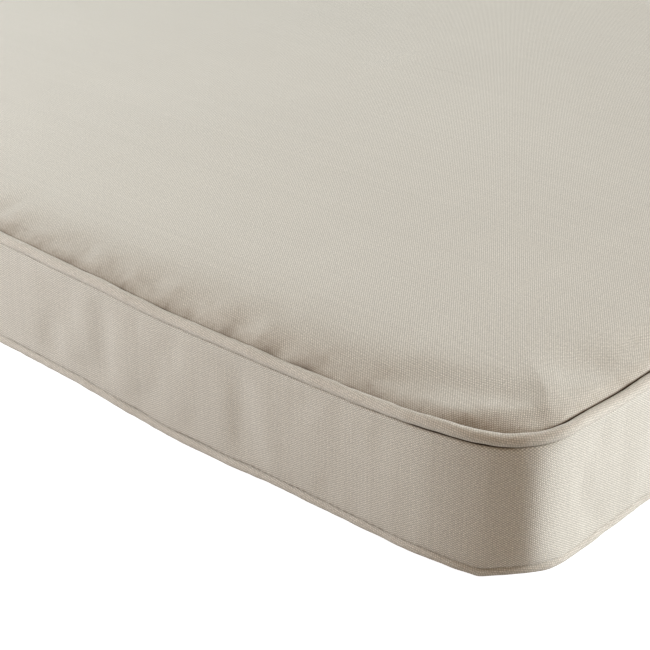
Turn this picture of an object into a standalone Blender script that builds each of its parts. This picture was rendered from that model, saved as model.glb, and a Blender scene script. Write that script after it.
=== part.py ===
"""Sun lounger cushion: a box cushion with a crowned top, drawn-in sides and two covered welts.

The cushion lies on its back. X runs across it, Y along it and Z up. The origin is on the
surface it rests on, under its middle. All sizes are in metres.
"""

import bmesh
import bpy
import numpy as np

# Plan
WIDTH = 0.650
LENGTH = 1.950
CORNER_ACROSS = 0.0352
CORNER_ALONG = 0.0544
DRAWN_IN_LONG = 0.008
DRAWN_IN_SHORT = 0.004

# Section
LOWER_SEAM = 0.0072
BAND_HEIGHT = 0.050
BAND_BULGE = 0.0008
ROLL_RISE = 0.0036
ROLL_REACH = 0.0085
CROWN_RISE = 0.0045
UNDERSIDE_CURVE = 2.5

# The flat patch that the cushion rests on, before its sides are drawn in
REST_WIDTH = 0.540
REST_LENGTH = 1.830

# Welts: a cord lies beside each seam, in a groove of the body
WELT_RADIUS = 0.0025
WELT_CLEARANCE = 0.00035
GROOVE_RADIUS = WELT_RADIUS + WELT_CLEARANCE
GROOVE_TURN = np.radians(115)
UPPER_WELT_INSET = 0.0
LOWER_WELT_INSET = 0.0013
UPPER_WELT_LIFT = 0.0030
LOWER_WELT_DROP = 0.0022
UPPER_WELT_HEIGHT = LOWER_SEAM + BAND_HEIGHT + UPPER_WELT_LIFT
LOWER_WELT_HEIGHT = LOWER_SEAM - LOWER_WELT_DROP

# How far in the rings follow the outline before they close on the spine
OFFSET_ZONE = 0.012
WAVE_REACH_TOP = 0.060
WAVE_REACH_UNDER = 0.040

REST_INSET = (WIDTH - REST_WIDTH) / 2

# Mesh density
CORNER_STEPS = 8
LONG_STEPS = 26
SHORT_STEPS = 10
GROOVE_STEPS = 4
BAND_STEPS = 5
TOP_STEPS = 11
TOP_SPACING = 2.4
UNDER_STEPS = 5
UNDER_SPACING = 1.6
WELT_BEVEL_STEPS = 2
SMOOTH_ANGLE = np.radians(50)
MERGE_DISTANCE = 1e-6

# How the sewn seams wave up and down beside a corner, in millimetres.
# The distance runs from the corner's tip, along the long side where it is positive.
# Columns: distance, rise of the upper seam, rise of the lower seam
SEAM_WAVES = (
    (-120, 0.0, 0.0),
    (-60, -0.3, -0.3),
    (-33, 0.2, -0.2),
    (-17, 0.9, 0.3),
    (0, -0.3, -0.4),
    (15, -0.2, -1.5),
    (26, 0.8, -0.2),
    (38, 1.3, 0.9),
    (56, 0.3, 1.0),
    (76, -0.5, 0.6),
    (100, -1.1, 0.5),
    (146, -1.3, -1.1),
    (172, -1.4, -1.2),
    (200, -1.0, 0.0),
    (236, 0.1, 1.8),
    (288, 1.7, 2.5),
    (360, 1.0, 1.0),
    (460, 0.0, 0.0),
)
# The share of those waves at each corner: near left, near right, far right, far left
WAVE_SHARES = (1.0, 0.6, 0.8, 0.5)

CANVAS_COLOUR = (0.60, 0.57, 0.50, 1.0)
WELT_COLOUR = (0.59, 0.56, 0.49, 1.0)
CANVAS_ROUGHNESS = 0.88


def clear_scene():
    for obj in list(bpy.data.objects):
        bpy.data.objects.remove(obj, do_unlink=True)


def make_material(name, colour):
    material = bpy.data.materials.new(name)
    material.use_nodes = True
    shader = material.node_tree.nodes["Principled BSDF"]
    shader.inputs["Base Color"].default_value = colour
    shader.inputs["Roughness"].default_value = CANVAS_ROUGHNESS
    shader.inputs["Metallic"].default_value = 0.0
    return material


def near_left_quarter():
    """Plan points from the middle of the left side, round the near left corner, to the
    middle of the near end. The corner is a quarter ellipse."""
    half_width, half_length = WIDTH / 2, LENGTH / 2
    side = np.linspace(0, half_length - CORNER_ALONG, LONG_STEPS // 2 + 1)[:-1]
    left = np.stack([np.full_like(side, -half_width), -side], 1)
    turn = np.linspace(0, np.pi / 2, CORNER_STEPS + 1)
    corner = np.stack(
        [
            -half_width + CORNER_ACROSS * (1 - np.cos(turn)),
            -half_length + CORNER_ALONG * (1 - np.sin(turn)),
        ],
        1,
    )
    end = np.linspace(-half_width + CORNER_ACROSS, 0, SHORT_STEPS // 2 + 1)[1:]
    near = np.stack([end, np.full_like(end, -half_length)], 1)
    return np.concatenate([left, corner, near])


def full_outline():
    """The outline before its sides are drawn in, as one closed ring, anticlockwise from the
    middle of the left side."""
    quarter = near_left_quarter()
    near_half = np.concatenate([quarter, quarter[-2::-1] * (-1, 1)])
    return np.concatenate([near_half, near_half[-2:0:-1] * (1, -1)])


def drawn_in(ring):
    """Each side pulled in between its corners by a squared parabola, which leaves the
    corners full."""
    across, along = ring[:, 0] / (WIDTH / 2), ring[:, 1] / (LENGTH / 2)
    inward = np.stack(
        [
            -DRAWN_IN_LONG * (1 - along**2) ** 2 * across,
            -DRAWN_IN_SHORT * (1 - across**2) ** 2 * along,
        ],
        1,
    )
    return ring + inward


def plan_outline():
    return drawn_in(full_outline())


def rest_patch():
    """The outline of the flat patch underneath. It is the cushion's outline clipped to a
    rectangle, so that each corner of the patch is a single point."""
    half = np.array([REST_WIDTH, REST_LENGTH]) / 2
    return drawn_in(np.clip(full_outline(), -half, half))


def inward_normals(ring):
    """Unit vectors square to the outline, pointing into the cushion."""
    tangent = np.roll(ring, -1, 0) - np.roll(ring, 1, 0)
    tangent /= np.linalg.norm(tangent, axis=1)[:, None]
    return np.stack([-tangent[:, 1], tangent[:, 0]], 1)


def ring_at(inset):
    """The ring at a distance inside the outline. Past the offset zone the points close in a
    straight line on the spine, the stretch of centre line half a width from either end."""
    outline = plan_outline()
    ring = outline + inward_normals(outline) * min(inset, OFFSET_ZONE)
    if inset <= OFFSET_ZONE:
        return ring
    reach = (LENGTH - WIDTH) / 2
    spine = np.stack([np.zeros(len(ring)), np.clip(ring[:, 1], -reach, reach)], 1)
    share = (inset - OFFSET_ZONE) / (WIDTH / 2 - OFFSET_ZONE)
    return ring + (spine - ring) * share


def underside_ring(inset):
    """The same underneath, where the rings close on the rest patch first."""
    if inset <= OFFSET_ZONE:
        return ring_at(inset)
    ring = ring_at(OFFSET_ZONE)
    share = (inset - OFFSET_ZONE) / (REST_INSET - OFFSET_ZONE)
    return ring + (rest_patch() - ring) * share


def smooth_between(x, known_x, known_y):
    """A cubic through the known points, whose slope at each is that of the line between
    its neighbours."""
    slope = np.gradient(known_y, known_x)
    row = np.clip(np.searchsorted(known_x, x) - 1, 0, len(known_x) - 2)
    step = known_x[row + 1] - known_x[row]
    t = np.clip((x - known_x[row]) / step, 0, 1)
    rise = (1 + 2 * t) * (1 - t) ** 2 * known_y[row] + t * t * (3 - 2 * t) * known_y[row + 1]
    lean = t * (1 - t) ** 2 * slope[row] - t * t * (1 - t) * slope[row + 1]
    return rise + step * lean


def seam_rises():
    """How far the upper and the lower seam wave up at each point of the outline."""
    ring = plan_outline()
    steps = np.linalg.norm(np.roll(ring, -1, 0) - ring, axis=1)
    along = np.concatenate([[0], np.cumsum(steps)[:-1]])
    around = steps.sum()
    quarter = len(ring) // 4
    tip = LONG_STEPS // 2 + CORNER_STEPS // 2
    tips = [tip, 2 * quarter - tip, 2 * quarter + tip, 4 * quarter - tip]
    distance, upper, lower = np.array(SEAM_WAVES, float).T / 1000
    rises = np.zeros((2, len(ring)))
    for corner, (index, share) in enumerate(zip(tips, WAVE_SHARES)):
        away = (along - along[index] + around / 2) % around - around / 2
        # An even corner meets its long side first, an odd one its short side.
        away = -away if corner % 2 == 0 else away
        near = (away > distance[0]) & (away < distance[-1])
        for row, known in enumerate((upper, lower)):
            rises[row] += share * near * smooth_between(away, distance, known)
    return rises


def groove(inset, height, start, upward):
    """Stations of the groove round a welt: an arc about the cord from the band's face to
    the panel. It starts under an upper cord and over a lower one."""
    turn = np.linspace(start, GROOVE_TURN, GROOVE_STEPS + 1)
    insets = inset + GROOVE_RADIUS * np.sin(turn)
    heights = height - upward * GROOVE_RADIUS * np.cos(turn)
    return np.stack([insets, heights], 1)


def body_stations():
    """(inset, height) of each ring of the body: those of the underside, from the rest patch
    out, and those up the band and in to the middle of the top."""
    lower_start = -np.arcsin(LOWER_WELT_INSET / GROOVE_RADIUS)
    lower_groove = groove(LOWER_WELT_INSET, LOWER_WELT_HEIGHT, lower_start, -1)[::-1]
    upper_groove = groove(UPPER_WELT_INSET, UPPER_WELT_HEIGHT, 0, 1)

    share = np.linspace(1, 0, UNDER_STEPS + 1)[:-1] ** UNDER_SPACING
    first_inset, first_height = lower_groove[0]
    insets = first_inset + (REST_INSET - first_inset) * share
    heights = first_height * (1 - share) ** UNDERSIDE_CURVE
    underside = np.stack([insets, heights], 1)

    up = np.linspace(0, 1, BAND_STEPS + 1)[1:-1]
    bottom, top = lower_groove[-1, 1], upper_groove[0, 1]
    band = np.stack([-BAND_BULGE * np.sin(np.pi * up), bottom + (top - bottom) * up], 1)

    share = np.linspace(0, 1, TOP_STEPS + 1)[1:] ** TOP_SPACING
    last_inset, last_height = upper_groove[-1]
    span = WIDTH / 2 - last_inset
    roll = ROLL_RISE * (1 - np.exp(-span * share / ROLL_REACH))
    crown = CROWN_RISE * (1 - (1 - share) ** 2)
    panel = np.stack([last_inset + span * share, last_height + roll + crown], 1)
    return underside, np.concatenate([lower_groove, band, upper_groove, panel])


def wave_at(inset, height, rises):
    """The seams' waves carried into the band and, dying out, into the panels."""
    share = np.clip((height - LOWER_SEAM) / BAND_HEIGHT, 0, 1)
    reach = WAVE_REACH_TOP if height > LOWER_SEAM + BAND_HEIGHT / 2 else WAVE_REACH_UNDER
    fade = max(0.0, 1 - max(inset, 0.0) / reach) ** 2
    return fade * (rises[1] + (rises[0] - rises[1]) * share)


def link_mesh(name, mesh, material):
    obj = bpy.data.objects.new(name, mesh)
    bpy.context.scene.collection.objects.link(obj)
    mesh.materials.append(material)
    mesh.shade_smooth()
    mesh.set_sharp_from_angle(angle=SMOOTH_ANGLE)
    return obj


def make_body(material):
    """One filled solid: a skin of rings, closed on the spine above and on the rest patch
    below."""
    rises = seam_rises()
    underside, upper = body_stations()
    placed = [(underside_ring(inset), inset, height) for inset, height in underside]
    placed += [(ring_at(inset), inset, height) for inset, height in upper]
    rings = []
    for plan, inset, height in placed:
        level = height + wave_at(inset, height, rises)
        rings.append(np.concatenate([plan, level[:, None]], 1))
    count = len(rings[0])
    here = np.arange(count)
    after = (here + 1) % count
    faces = []
    for row in range(len(rings) - 1):
        low, high = row * count, (row + 1) * count
        faces += np.stack([low + here, low + after, high + after, high + here], 1).tolist()
    faces.append(here[::-1].tolist())
    mesh = bpy.data.meshes.new("cushion_body")
    mesh.from_pydata(np.concatenate(rings).tolist(), [], faces)
    work = bmesh.new()
    work.from_mesh(mesh)
    bmesh.ops.remove_doubles(work, verts=work.verts, dist=MERGE_DISTANCE)
    bmesh.ops.recalc_face_normals(work, faces=work.faces)
    work.to_mesh(mesh)
    work.free()
    return link_mesh("cushion_body", mesh, material)


def make_welt(name, inset, height, rise, material):
    """A covered cord as a closed curve with a round bevel, beside its seam."""
    curve = bpy.data.curves.new(name, "CURVE")
    curve.dimensions = "3D"
    curve.twist_mode = "Z_UP"
    curve.bevel_depth = WELT_RADIUS
    curve.bevel_resolution = WELT_BEVEL_STEPS
    spline = curve.splines.new("POLY")
    plan = ring_at(inset)
    spline.points.add(len(plan) - 1)
    for point, (x, y), lift in zip(spline.points, plan, rise):
        point.co = (x, y, height + lift, 1)
    spline.use_cyclic_u = True
    spline.use_smooth = True
    curve.materials.append(material)
    obj = bpy.data.objects.new(name, curve)
    bpy.context.scene.collection.objects.link(obj)
    return obj


def main():
    clear_scene()
    canvas = make_material("canvas", CANVAS_COLOUR)
    welt_canvas = make_material("welt_canvas", WELT_COLOUR)
    upper_rise, lower_rise = seam_rises()
    make_body(canvas)
    make_welt("welt_upper", UPPER_WELT_INSET, UPPER_WELT_HEIGHT, upper_rise, welt_canvas)
    make_welt("welt_lower", LOWER_WELT_INSET, LOWER_WELT_HEIGHT, lower_rise, welt_canvas)


main()
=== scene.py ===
# %% [markdown]
# # A sun lounger cushion
#
# The real cushion is a long sheet of foam in a sewn cover. The cover has a top panel, a
# bottom panel and a band between them, all cut from one plain-woven canvas. In both seams
# lies a welt, a thin cord wrapped in a strip of the same canvas.
#
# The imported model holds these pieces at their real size, as plain solids. This script
# dresses them: it loads the solids as a fixed frame and builds the cloth over them.

# %% Load the frame
from types import SimpleNamespace

import bpy
import numpy as np
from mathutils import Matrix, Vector


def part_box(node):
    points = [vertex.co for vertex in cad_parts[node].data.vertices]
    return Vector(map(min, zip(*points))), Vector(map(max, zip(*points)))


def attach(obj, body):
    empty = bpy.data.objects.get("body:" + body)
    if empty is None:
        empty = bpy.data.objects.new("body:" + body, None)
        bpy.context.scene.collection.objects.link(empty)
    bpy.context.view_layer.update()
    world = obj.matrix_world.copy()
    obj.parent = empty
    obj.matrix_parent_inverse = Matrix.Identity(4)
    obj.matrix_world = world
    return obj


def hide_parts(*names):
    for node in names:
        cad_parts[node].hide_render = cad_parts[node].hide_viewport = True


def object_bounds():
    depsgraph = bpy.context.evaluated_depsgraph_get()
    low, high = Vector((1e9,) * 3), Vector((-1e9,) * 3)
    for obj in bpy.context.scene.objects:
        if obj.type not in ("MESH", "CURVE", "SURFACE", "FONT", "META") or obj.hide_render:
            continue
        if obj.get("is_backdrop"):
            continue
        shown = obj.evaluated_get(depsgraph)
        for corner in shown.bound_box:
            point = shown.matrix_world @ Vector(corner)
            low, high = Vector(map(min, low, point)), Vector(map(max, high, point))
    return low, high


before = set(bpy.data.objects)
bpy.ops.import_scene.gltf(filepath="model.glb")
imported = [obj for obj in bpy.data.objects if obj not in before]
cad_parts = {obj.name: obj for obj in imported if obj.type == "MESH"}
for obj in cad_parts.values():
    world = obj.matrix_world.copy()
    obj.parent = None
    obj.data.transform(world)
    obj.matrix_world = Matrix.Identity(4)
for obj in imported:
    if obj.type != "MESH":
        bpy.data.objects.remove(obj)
cad_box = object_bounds()
MM = 0.001
print("frame", sorted(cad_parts), "box", [round(x, 4) for x in cad_box[1] - cad_box[0]])

# %% [markdown]
# ## Sizes
#
# The width and length come from the frame. The rest are the sizes that a maker would set
# on the pattern: how round the corners are, how far the sides pull in between them, and
# where the two welts lie. A side pulls in because the foam is pressed into a cover that
# is cut a little small, and the corners, being stiffer, stay out.

# %% Sizes
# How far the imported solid's band stands out from the outline
SOLID_BULGE = 0.8 * MM
body_low, body_high = (np.array(corner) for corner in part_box("cushion_body"))
WIDTH, LENGTH = np.round((body_high - body_low)[:2] - 2 * SOLID_BULGE, 3)
CORNER_ACROSS = 35.2 * MM
CORNER_ALONG = 54.4 * MM
DRAWN_IN_LONG = 8.0 * MM
DRAWN_IN_SHORT = 4.0 * MM
LOWER_SEAM = 7.2 * MM
BAND_HEIGHT = 50.0 * MM
UPPER_SEAM = LOWER_SEAM + BAND_HEIGHT
WELT_RADIUS = 2.5 * MM
CORD_ABOVE_SEAM = 3.0 * MM
CORD_BELOW_SEAM = 2.2 * MM
LIP_INSET = -0.4 * MM
# Of each welt: how far inside the outline the cord's middle lies, its height, the side of
# the band that it is on, where the band's lip lies, and how much further out a shut lip is
UPPER_WELT = SimpleNamespace(
    inset=0.0, height=UPPER_SEAM + CORD_ABOVE_SEAM, upward=1,
    lip_inset=LIP_INSET, closed_out=0.6 * MM,
)
LOWER_WELT = SimpleNamespace(
    inset=1.3 * MM, height=LOWER_SEAM - CORD_BELOW_SEAM, upward=-1,
    lip_inset=LIP_INSET, closed_out=0.0,
)
# How far a seam's waves reach into the top and the bottom panel
TOP_WAVE_REACH = 60 * MM
BOTTOM_WAVE_REACH = 40 * MM
REST_PATCH = np.array([540.0, 1830.0]) * MM
print(f"cushion {WIDTH:.3f} by {LENGTH:.3f} m, top at {body_high[2]:.4f} m")

# %% [markdown]
# ## The outline
#
# Seen from above, the cushion is a rectangle with rounded corners. The outline is worked
# out as one ring of points, which everything else follows: the cover is this ring moved
# inwards and up, and the welts and the stitches run along it. The points lie closer
# together at the corners, because the cloth does more there.


# %% The outline
def eased(count):
    """Shares from 0 to 1 whose steps shrink to a third: 1.5 t minus half of t squared."""
    t = np.linspace(0, 1, count + 1)
    return 1.5 * t - 0.5 * t**2


def quarter_outline(side_steps, corner_steps, end_steps):
    """From the middle of the left side to the middle of the near end. The corner is a
    quarter ellipse: its half axis times one minus the cosine across, and times one minus
    the sine along."""
    half_width, half_length = WIDTH / 2, LENGTH / 2
    down = (half_length - CORNER_ALONG) * eased(side_steps)[:-1]
    turn = np.linspace(0, np.pi / 2, corner_steps + 1)
    left = (half_width - CORNER_ACROSS) * eased(end_steps)[-2::-1]
    corner_x = -half_width + CORNER_ACROSS * (1 - np.cos(turn))
    corner_y = -half_length + CORNER_ALONG * (1 - np.sin(turn))
    x = np.concatenate([np.full(len(down), -half_width), corner_x, -left])
    y = np.concatenate([-down, corner_y, np.full(len(left), -half_length)])
    return np.stack([x, y], 1)


def drawn_in(ring):
    """Each side moved in by its depth times (1 minus the square of the place along it),
    squared, so that the middle moves most and the corners hardly."""
    across, along = ring[:, 0] / (WIDTH / 2), ring[:, 1] / (LENGTH / 2)
    x = ring[:, 0] - DRAWN_IN_LONG * (1 - along**2) ** 2 * across
    y = ring[:, 1] - DRAWN_IN_SHORT * (1 - across**2) ** 2 * along
    return np.stack([x, y], 1)


def make_line(side_steps, corner_steps, end_steps):
    """The whole outline, anticlockwise, with what is measured along it: unit vectors that
    point inwards, the distance from the start, and the signed distance from the tip of the
    nearest corner, which is positive along a long side."""
    quarter = quarter_outline(side_steps, corner_steps, end_steps)
    near_half = np.concatenate([quarter, quarter[-2::-1] * (-1, 1)])
    full = np.concatenate([near_half, near_half[-2:0:-1] * (1, -1)])
    ring = drawn_in(full)
    tangent = np.roll(ring, -1, 0) - np.roll(ring, 1, 0)
    tangent /= np.linalg.norm(tangent, axis=1)[:, None]
    step = np.linalg.norm(np.roll(ring, -1, 0) - ring, axis=1)
    along = np.concatenate([[0], np.cumsum(step)[:-1]])
    around = step.sum()
    count, tip = len(ring), side_steps + corner_steps // 2
    tips = np.array([tip, count // 2 - tip, count // 2 + tip, count - tip])
    away = (along - along[tips][:, None] + around / 2) % around - around / 2
    corner = np.abs(away).argmin(0)
    away = away[corner, np.arange(count)] * np.where(corner % 2 == 0, -1, 1)
    inward = np.stack([-tangent[:, 1], tangent[:, 0]], 1)
    return SimpleNamespace(
        full=full, ring=ring, inward=inward, tangent=tangent, along=along,
        around=around, count=count, corner=corner, away=away,
    )


cover_line = make_line(side_steps=180, corner_steps=28, end_steps=56)
print(f"outline {cover_line.around:.3f} m round, {cover_line.count} points")

# %% [markdown]
# ## How the seams wander
#
# A sewn seam never lies quite straight: the machine feeds one layer faster than the
# other, and at a corner the strip is eased round. Two tables say how the seams run beside
# a corner, in millimetres from its tip. The other corners get a share of the same waves,
# and a slow drift, a sum of a few sine waves of seeded phase, varies the rest.

# %% How the seams wander
# Columns, in millimetres: distance from the tip, positive along a long side, rise of the
# upper seam and rise of the lower seam
SEAM_WAVES = (
    (-120, 0.0, 0.0),
    (-105, -0.1, 0.2),
    (-90, -0.2, 0.2),
    (-69, -0.25, 0.1),
    (-60, -0.2, 0.05),
    (-48, 0.35, 0.2),
    (-35, 1.1, 0.2),
    (-24, 1.05, 0.55),
    (-17, 0.45, 0.8),
    (-11, 0.15, 0.7),
    (-7, -0.1, 0.35),
    (-4, -0.2, 0.05),
    (0, -0.1, -0.85),
    (4, 0.3, -1.5),
    (7, 0.45, -0.95),
    (11, 0.8, -0.3),
    (15, 1.15, 0.2),
    (19, 1.4, 0.85),
    (23, 1.5, 1.25),
    (27, 1.5, 1.4),
    (32, 1.4, 1.45),
    (38, 1.2, 1.45),
    (52, 0.35, 1.35),
    (67, -0.15, 1.1),
    (83, -0.45, 0.85),
    (100, -0.9, 0.6),
    (117, -0.8, -0.2),
    (134, -1.2, -1.2),
    (151, -1.3, -1.65),
    (171, -1.4, -1.55),
    (190, -0.7, -0.85),
    (210, 0.15, 0.45),
    (232, 0.5, 1.65),
    (251, 1.05, 2.0),
    (288, 2.0, 2.5),
    (360, 1.2, 1.0),
    (460, 0.0, 0.0),
)
# What each corner shows of these waves: near left, near right, far right, far left
WAVE_SHARES = np.array([1.0, 0.6, 0.8, 0.5])

# Columns: distance from the tip, gap under the upper welt, gap behind it and gap over the lower
# welt, all in millimetres, and then as shares: how much of the top panel's roll is sharp, the
# dust and painted shade on the panel beside it, and how dark the painted shadow is along the
# band's lower edge, in dashes with the stitches
SEAM_GAPS = (
    (-330, 0.00, 0.30, 0.10, 0.65, 0.25, 0.35),
    (-90, 0.00, 0.30, 0.10, 0.65, 0.30, 0.45),
    (-60, 0.00, 0.33, 0.05, 0.60, 0.30, 0.40),
    (-48, 0.00, 0.34, 0.02, 0.55, 0.28, 0.30),
    (-38, 0.00, 0.38, 0.00, 0.45, 0.20, 0.00),
    (-30, 0.00, 0.48, 0.00, 0.30, 0.12, 0.00),
    (-24, 0.02, 0.46, 0.00, 0.18, 0.08, 0.00),
    (-18, 0.06, 0.20, 0.00, 0.10, 0.15, 0.10),
    (-12, 0.13, 0.05, 0.05, 0.16, 0.40, 0.30),
    (-6, 0.26, 0.05, 0.05, 0.34, 0.50, 0.35),
    (2, 0.48, 0.05, 0.05, 0.44, 0.52, 0.35),
    (12, 0.46, 0.05, 0.05, 0.46, 0.48, 0.45),
    (24, 0.38, 0.05, 0.05, 0.34, 0.46, 0.70),
    (45, 0.18, 0.05, 0.10, 0.14, 0.52, 0.90),
    (100, 0.05, 0.05, 0.35, 0.14, 0.60, 0.90),
    (150, 0.02, 0.05, 1.00, 0.12, 0.50, 0.70),
    (215, 0.00, 0.06, 0.80, 0.18, 0.55, 0.30),
    (300, 0.00, 0.08, 0.60, 0.25, 0.55, 0.20),
    (460, 0.06, 0.12, 0.40, 0.25, 0.45, 0.30),
)
print(len(SEAM_WAVES), "places for the waves and", len(SEAM_GAPS), "for the gaps")


# %% Read the tables
def smooth_between(x, known_x, known_y):
    """A cubic through the known points, whose slope at each is that of the line between
    its neighbours. It runs along the first axis of known_y."""
    slope = np.gradient(known_y, known_x, axis=0)
    row = np.clip(np.searchsorted(known_x, x) - 1, 0, len(known_x) - 2)
    shape = (-1,) + (1,) * (known_y.ndim - 1)
    step = (known_x[row + 1] - known_x[row]).reshape(shape)
    t = np.clip((x - known_x[row]).reshape(shape) / step, 0, 1)
    rise = (1 + 2 * t) * (1 - t) ** 2 * known_y[row] + t * t * (3 - 2 * t) * known_y[row + 1]
    lean = t * (1 - t) ** 2 * slope[row] - t * t * (1 - t) * slope[row + 1]
    return rise + step * lean


def drift(line, seed, length, waves=7):
    """A slow change along the outline that meets itself, mostly from -1 to 1: the sum of
    sine waves over the root of their number. Each fits the whole way round, with a length
    near the given one, in metres, and a seeded phase."""
    draw = np.random.default_rng(seed)
    middle = line.around / length
    turns = np.maximum(1, np.round(middle * draw.uniform(0.6, 1.5, waves)))
    phase = draw.uniform(0, 2 * np.pi, waves)
    angle = 2 * np.pi * line.along[:, None] / line.around * turns + phase
    return np.sin(angle).sum(1) / np.sqrt(waves)


def seam_facts(line):
    """What the tables say at each point of a line, with the lengths in metres. The gaps and the
    dust and painted shade also get a drift of 12 to 35 %."""
    distance, upper, lower = np.array(SEAM_WAVES, float).T * MM
    share = WAVE_SHARES[line.corner] * ((line.away > distance[0]) & (line.away < distance[-1]))
    columns = np.array(SEAM_GAPS, float).T
    table = [np.interp(line.away, columns[0] * MM, column) for column in columns[1:]]
    under, behind, over, sharp, dust_and_shade, lower_edge_shadow = table
    uneven = 1 + 0.22 * drift(line, seed=5, length=0.11)
    uneven += 0.12 * drift(line, seed=6, length=0.03)
    return SimpleNamespace(
        upper_rise=share * smooth_between(line.away, distance, upper),
        lower_rise=share * smooth_between(line.away, distance, lower),
        under=under * MM * uneven,
        behind=behind * MM * (1 + 0.2 * drift(line, seed=7, length=0.12)),
        over=over * MM * (1 + 0.35 * drift(line, seed=9, length=0.05)),
        sharp=sharp,
        dust_and_shade=dust_and_shade * (1 + 0.3 * drift(line, seed=10, length=0.03)),
        lower_edge_shadow=lower_edge_shadow,
    )


facts = seam_facts(cover_line)
print("seams rise and fall by", round(float(np.ptp(facts.lower_rise)) / MM, 1), "mm")

# %% [markdown]
# ## The section
#
# Cut across, the cover runs from its flat underside out to the lower welt, into the seam
# behind that cord, up the band, into the upper seam and over the top panel to the middle.
# Each stretch is a function of two parameters: the place along the outline and the place
# along the section. It gives the inset, how far inside the outline a point lies, and its
# height. The cloth turns into a seam in a narrow crease round the cord.

# %% The section
# The top panel rises a little to its middle, and much in the roll beside the seam, which
# is part sharp and part soft
CROWN_RISE = 2.0 * MM
ROLL_RISE = 7.4 * MM
SHARP_REACH = 2.4 * MM
SOFT_REACH = 12.0 * MM
# The cloth's least distance from a cord, how far round the cord a crease goes, the gap
# behind the lower one, and the gap below which a seam counts as shut
SEAT = 0.1 * MM
CREASE_TURN = np.radians(115)
BEHIND_LOWER_WELT = 0.2 * MM
CLOSED_GAP = 0.12 * MM
# The band's middle, how far it stands out, and how short the rounding of its lips is
BAND_MIDDLE = LOWER_SEAM + BAND_HEIGHT / 2
BAND_PUFF = 1.3 * MM
LIP_REACH = 0.25 * MM
# Up to this inset the rings keep square to the outline
OFFSET_ZONE = 12 * MM
# The flat patch underneath, the curve from it up to the seam, and the line that the rings
# close on
REST_INSET = (WIDTH - REST_PATCH[0]) / 2
UNDERSIDE_CURVE = 2.5
SPINE_HALF = (LENGTH - WIDTH) / 2
FLAT_STEPS = 5
# How much the rings crowd: 0 would be even for the band, and 1 for the panels
LIP_CROWDING = 0.93
PANEL_CROWDING = 2.6
UNDERSIDE_CROWDING = 1.6
print("the cover rests on a patch", REST_PATCH, "m, which starts", round(REST_INSET, 3), "m in")


# %% The crease and the band
def crease(welt, lip_gap, panel_gap, steps):
    """Round the hidden side of a cord, from the band's lip to the panel: an arc about the
    cord's middle, whose radius is the cord's plus a gap that fades from either lip. Where
    the gap closes, the lip lies further out, by an exponential of the gap."""
    lip = welt.lip_inset - welt.closed_out * np.exp(-lip_gap / CLOSED_GAP)
    start = np.arcsin((lip - welt.inset) / (WELT_RADIUS + SEAT + lip_gap))
    share = np.linspace(0, 1, steps + 1)[:, None]
    turn = start + (CREASE_TURN - start) * share
    radius = WELT_RADIUS + SEAT + lip_gap * (1 - share) ** 2 + panel_gap * share**2
    inset = welt.inset + radius * np.sin(turn)
    return inset, welt.height - welt.upward * radius * np.cos(turn)


def band(low_lip, high_lip, steps):
    """Up the band from lip to lip. It stands out between them, and both lips are rounded
    by an exponential of the height from them. The steps are short at the lips."""
    (low_inset, low), (high_inset, high) = low_lip, high_lip
    even = np.linspace(0, 1, steps + 1)[1:-1, None]
    share = even - LIP_CROWDING * np.sin(2 * np.pi * even) / (2 * np.pi)
    height = low + (high - low) * share
    lower = (low_inset + BAND_PUFF) * np.exp((low - height) / LIP_REACH)
    upper = (high_inset + BAND_PUFF) * np.exp((height - high) / LIP_REACH)
    return lower + upper - BAND_PUFF, height


deep = np.ptp(crease(UPPER_WELT, 0.0, 0.0, 9)[0]) / MM
print("a shut seam is", round(float(deep), 1), "mm deep")


# %% The two panels
def top_panel(inset, height, sharp, steps):
    """From the upper crease to the middle line. The height rises beside the seam by two
    exponentials, a sharp and a soft one, and by the crown, a parabola over the width."""
    share = np.linspace(0, 1, steps + 1)[1:, None] ** PANEL_CROWDING
    span = WIDTH / 2 - inset
    edge_level = UPPER_WELT.height - WELT_RADIUS * np.cos(CREASE_TURN) + ROLL_RISE
    steep = sharp * np.exp(-span * share / SHARP_REACH)
    gentle = (1 - sharp) * np.exp(-span * share / SOFT_REACH)
    rolled = (edge_level - height) * (1 - steep - gentle)
    crown = CROWN_RISE * (1 - (1 - share) ** 2)
    return inset + span * share, height + rolled + crown


def underside(inset, height, steps):
    """From the middle line flat out to the edge of the patch, and from there to the lower
    crease, where the height grows with a power of the distance from the patch."""
    flat = np.linspace(WIDTH / 2, REST_INSET, FLAT_STEPS + 1)[:-1, None] + 0 * inset
    share = np.linspace(1, 0, steps + 1)[:-1, None] ** UNDERSIDE_CROWDING
    curved = inset + (REST_INSET - inset) * share
    level = height * (1 - share) ** UNDERSIDE_CURVE
    return np.concatenate([flat, curved]), np.concatenate([0 * flat, level])


highest = top_panel(0.0, UPPER_WELT.height, 0.5, 9)[1].max()
print("the plain section is", round(float(highest), 4), "m high")


# %% From the section to the plan
def on_plan(line, inset):
    """The place on the plan at an inset. Near the edge it is square to the outline, and
    further in it closes on the spine, the middle line short of both ends."""
    near = line.ring + line.inward * np.minimum(inset, OFFSET_ZONE)[..., None]
    spine_y = np.clip(near[..., 1], -SPINE_HALF, SPINE_HALF)
    spine = np.stack([np.zeros_like(spine_y), spine_y], -1)
    share = np.clip((inset - OFFSET_ZONE) / (WIDTH / 2 - OFFSET_ZONE), 0, 1)
    return near + (spine - near) * share[..., None]


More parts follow.
